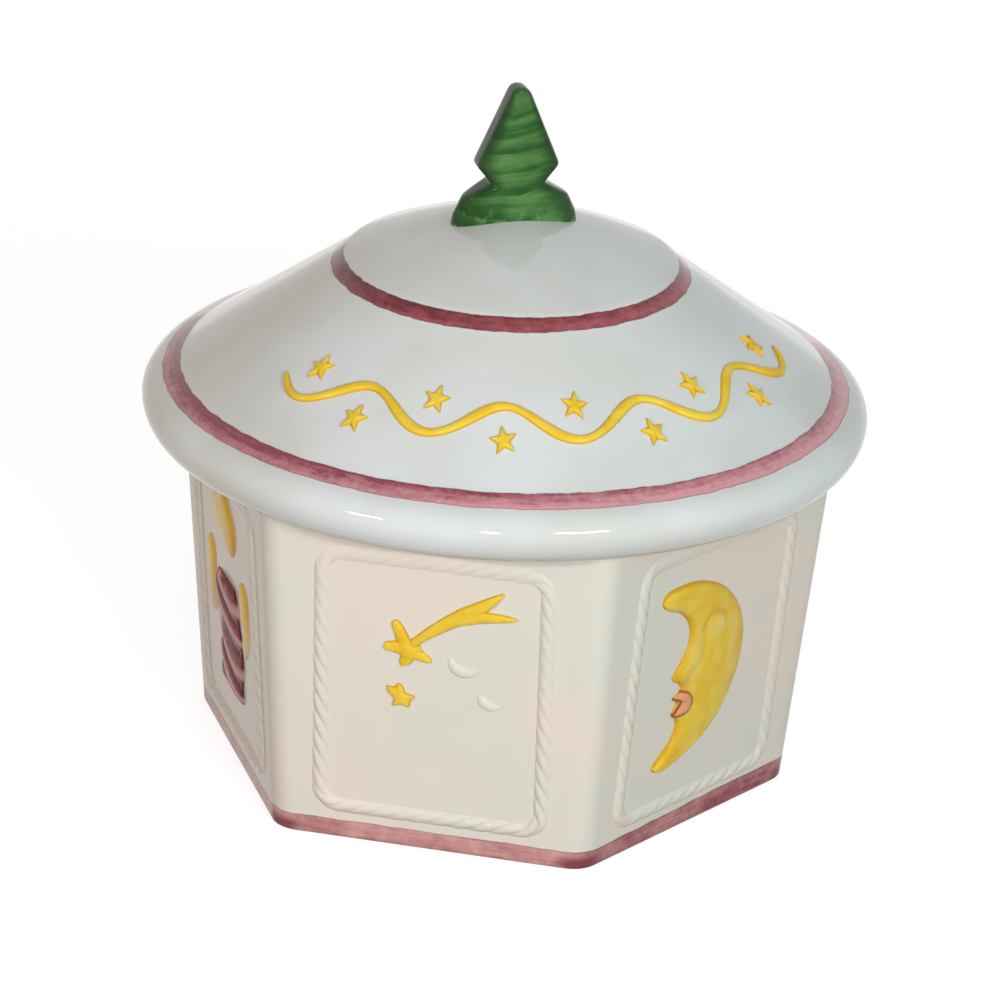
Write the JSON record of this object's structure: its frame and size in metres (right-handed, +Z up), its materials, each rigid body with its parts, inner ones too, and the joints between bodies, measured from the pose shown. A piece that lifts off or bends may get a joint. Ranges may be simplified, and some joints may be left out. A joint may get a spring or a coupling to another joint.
{
  "type": "cookie jar",
  "caption": "Six-sided glazed ceramic cookie jar that widens upwards, with rope-edged sprigged panels and a round hat-shaped lid that lifts off by a fir-tree knob.",
  "frame": {"origin": "centre of the foot, on the surface the jar stands on", "axes": "+Z up the axis of the jar and lid; -Y is the normal of the comet side's foot edge, and the knob's flat front is turned 27 degrees from it towards +X"},
  "size_m": [0.22, 0.22, 0.214],
  "materials": {
    "cream_glaze": "clear gloss glaze over cream earthenware",
    "white_glaze": "clear gloss glaze over cool white earthenware",
    "bare_clay": "fired clay left unglazed where the lid sits",
    "yellow_glaze": "brushed yellow underglaze under clear gloss",
    "plum_glaze": "brushed plum underglaze under clear gloss",
    "green_glaze": "brushed green glaze, very glossy"
  },
  "bodies": {
    "jar": {"jar_body": "cream_glaze", "rope_frame_1": "cream_glaze", "rope_frame_2": "cream_glaze", "rope_frame_3": "cream_glaze", "rope_frame_4": "cream_glaze", "rope_frame_5": "cream_glaze", "rope_frame_6": "cream_glaze", "comet_1": "yellow_glaze", "comet_4": "yellow_glaze", "little_star_1": "yellow_glaze", "little_star_4": "yellow_glaze", "upper_curl_1": "cream_glaze", "upper_curl_4": "cream_glaze", "lower_curl_1": "cream_glaze", "lower_curl_4": "cream_glaze", "moon_2": "yellow_glaze", "moon_5": "yellow_glaze", "candle_3": "plum_glaze", "candle_6": "plum_glaze", "flame_3": "yellow_glaze", "flame_6": "yellow_glaze", "glow_3_left": "yellow_glaze", "glow_3_right": "yellow_glaze", "glow_6_left": "yellow_glaze", "glow_6_right": "yellow_glaze"},
    "lifting_lid": {"lid": "white_glaze", "lid_seat_ring": "bare_clay", "tree_knob": "green_glaze", "lid_scroll": "yellow_glaze", "lid_star_1": "yellow_glaze", "lid_star_2": "yellow_glaze", "lid_star_3": "yellow_glaze", "lid_star_4": "yellow_glaze", "lid_star_5": "yellow_glaze", "lid_star_6": "yellow_glaze", "lid_star_7": "yellow_glaze", "lid_star_8": "yellow_glaze", "lid_star_9": "yellow_glaze"}
  },
  "joints": [
    {"name": "lid_lift", "type": "slide", "parent": "jar", "child": "lifting_lid", "axis": [0, 0, 1], "range_m": [0, 0.12]}
  ]
}
